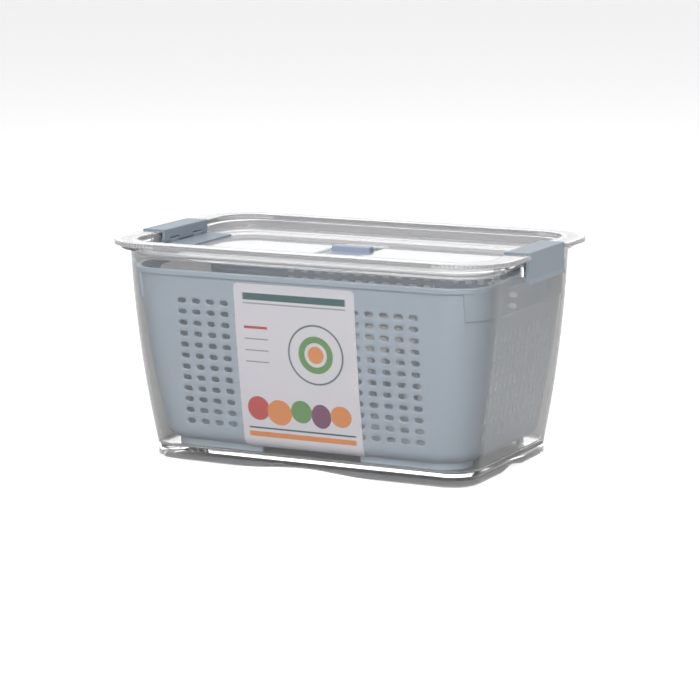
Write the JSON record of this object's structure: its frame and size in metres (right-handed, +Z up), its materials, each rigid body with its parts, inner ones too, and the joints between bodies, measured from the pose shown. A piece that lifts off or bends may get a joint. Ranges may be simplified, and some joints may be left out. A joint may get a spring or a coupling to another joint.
{
  "type": "food storage container",
  "caption": "Clear tapered food keeper with a blue-grey drain basket inside, a recessed clear lid, a hinged snap latch over each short end and a flip-up vent flap.",
  "frame": {"origin": "under the middle of the box, at the level of the feet", "axes": "+X along the long side, to the right in the picture; +Y to the back, away from the label; +Z up"},
  "size_m": [0.302, 0.181, 0.1544],
  "materials": {
    "clear_bin": "clear moulded plastic, glossy, slightly smoky",
    "clear_lid": "clear moulded plastic, glossy",
    "blue_grey": "fine satin moulded plastic",
    "vent_blue": "fine satin moulded plastic",
    "silicone": "translucent silicone",
    "pin_steel": "plain steel wire",
    "printed_sheet": "printed coated paper sheet, satin"
  },
  "bodies": {
    "bin": {"outer_bin": "clear_bin"},
    "basket": {"basket": "blue_grey", "label": "printed_sheet"},
    "lid": {"lid": "clear_lid", "lid_seal": "silicone", "latch_base_left": "blue_grey", "latch_base_right": "blue_grey", "hinge_pin_left": "pin_steel", "hinge_pin_right": "pin_steel"},
    "latch_left": {"latch_left": "blue_grey"},
    "latch_right": {"latch_right": "blue_grey"},
    "vent_flap": {"vent_flap": "vent_blue", "vent_plug": "silicone"}
  },
  "joints": [
    {"name": "basket_lift", "type": "slide", "parent": "bin", "child": "basket", "axis": [0, 0, 1], "range_m": [0, 0.14]},
    {"name": "lid_lift", "type": "slide", "parent": "basket", "child": "lid", "axis": [0, 0, 1], "range_m": [0, 0.08]},
    {"name": "latch_left_hinge", "type": "hinge", "parent": "lid", "child": "latch_left", "pos_m": [-0.1323, 0, 0.1463], "axis": [0, 1, 0], "range_deg": [0, 90]},
    {"name": "latch_right_hinge", "type": "hinge", "parent": "lid", "child": "latch_right", "pos_m": [0.1323, 0, 0.1463], "axis": [0, -1, 0], "range_deg": [0, 90]},
    {"name": "vent_flap_hinge", "type": "hinge", "parent": "lid", "child": "vent_flap", "pos_m": [0, -0.024, 0.1417], "axis": [1, 0, 0], "range_deg": [0, 85]}
  ]
}
